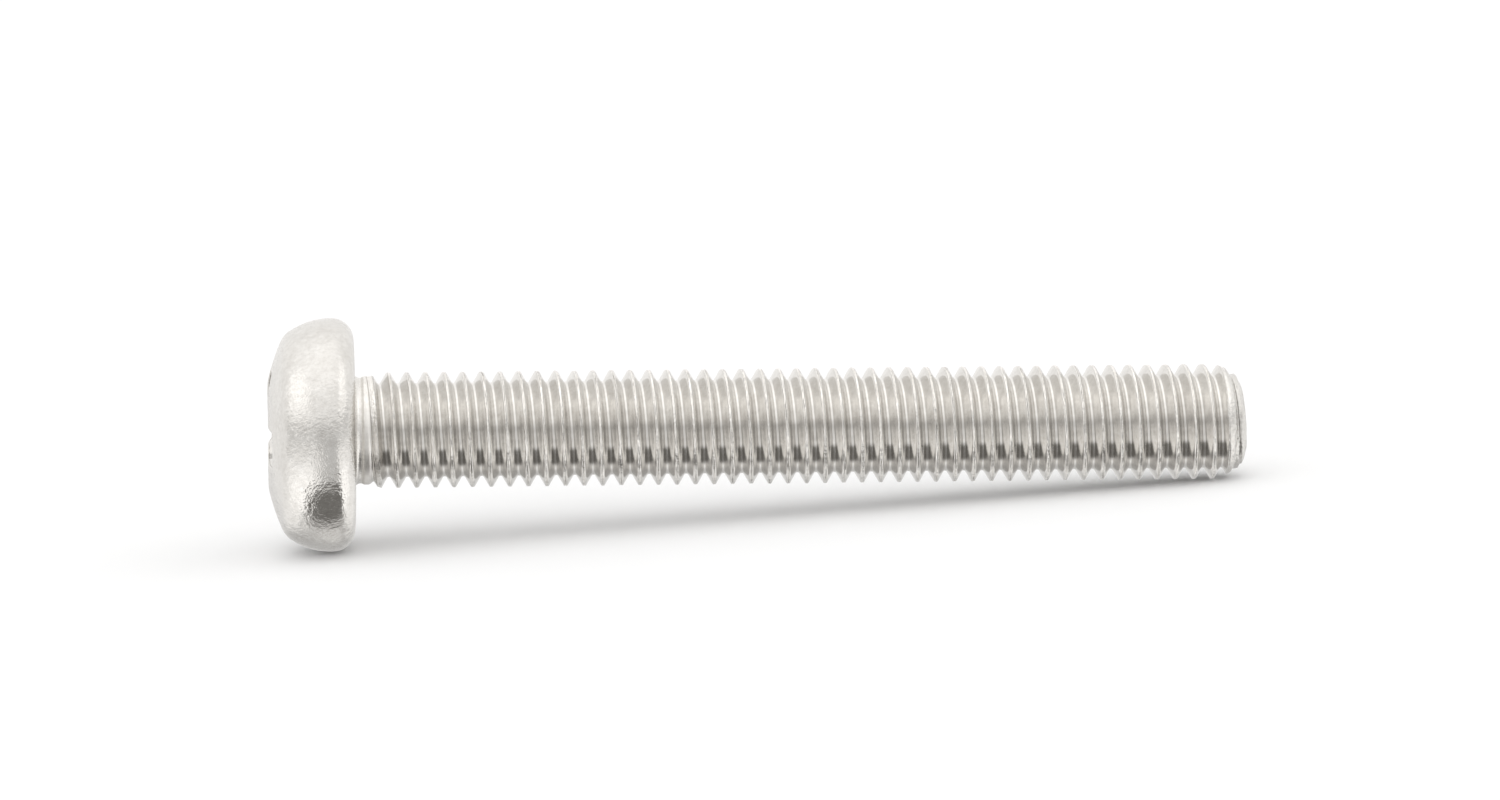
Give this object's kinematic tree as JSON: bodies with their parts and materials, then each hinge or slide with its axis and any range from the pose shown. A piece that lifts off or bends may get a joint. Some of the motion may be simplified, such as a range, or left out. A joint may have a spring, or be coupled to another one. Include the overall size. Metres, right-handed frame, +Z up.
{
  "type": "machine screw",
  "caption": "Long machine screw with a low domed head, a cross recess and a right-hand coarse thread up to the head, for clamping parts under its bearing face.",
  "frame": {"origin": "centre of the bearing face under the head, on the thread's axis", "axes": "+Z up, square to the level surface that the screw lies on; +X along the screw over that surface, from the head to the point, so the thread's axis falls 4.06 degrees below +X; +Y to the left of the point"},
  "size_m": [0.0661, 0.0156, 0.0157],
  "materials": {
    "stainless": "plain stainless steel: satin, finely mottled head and brighter rolled thread"
  },
  "bodies": {
    "root": {"screw": "stainless"}
  },
  "joints": []
}
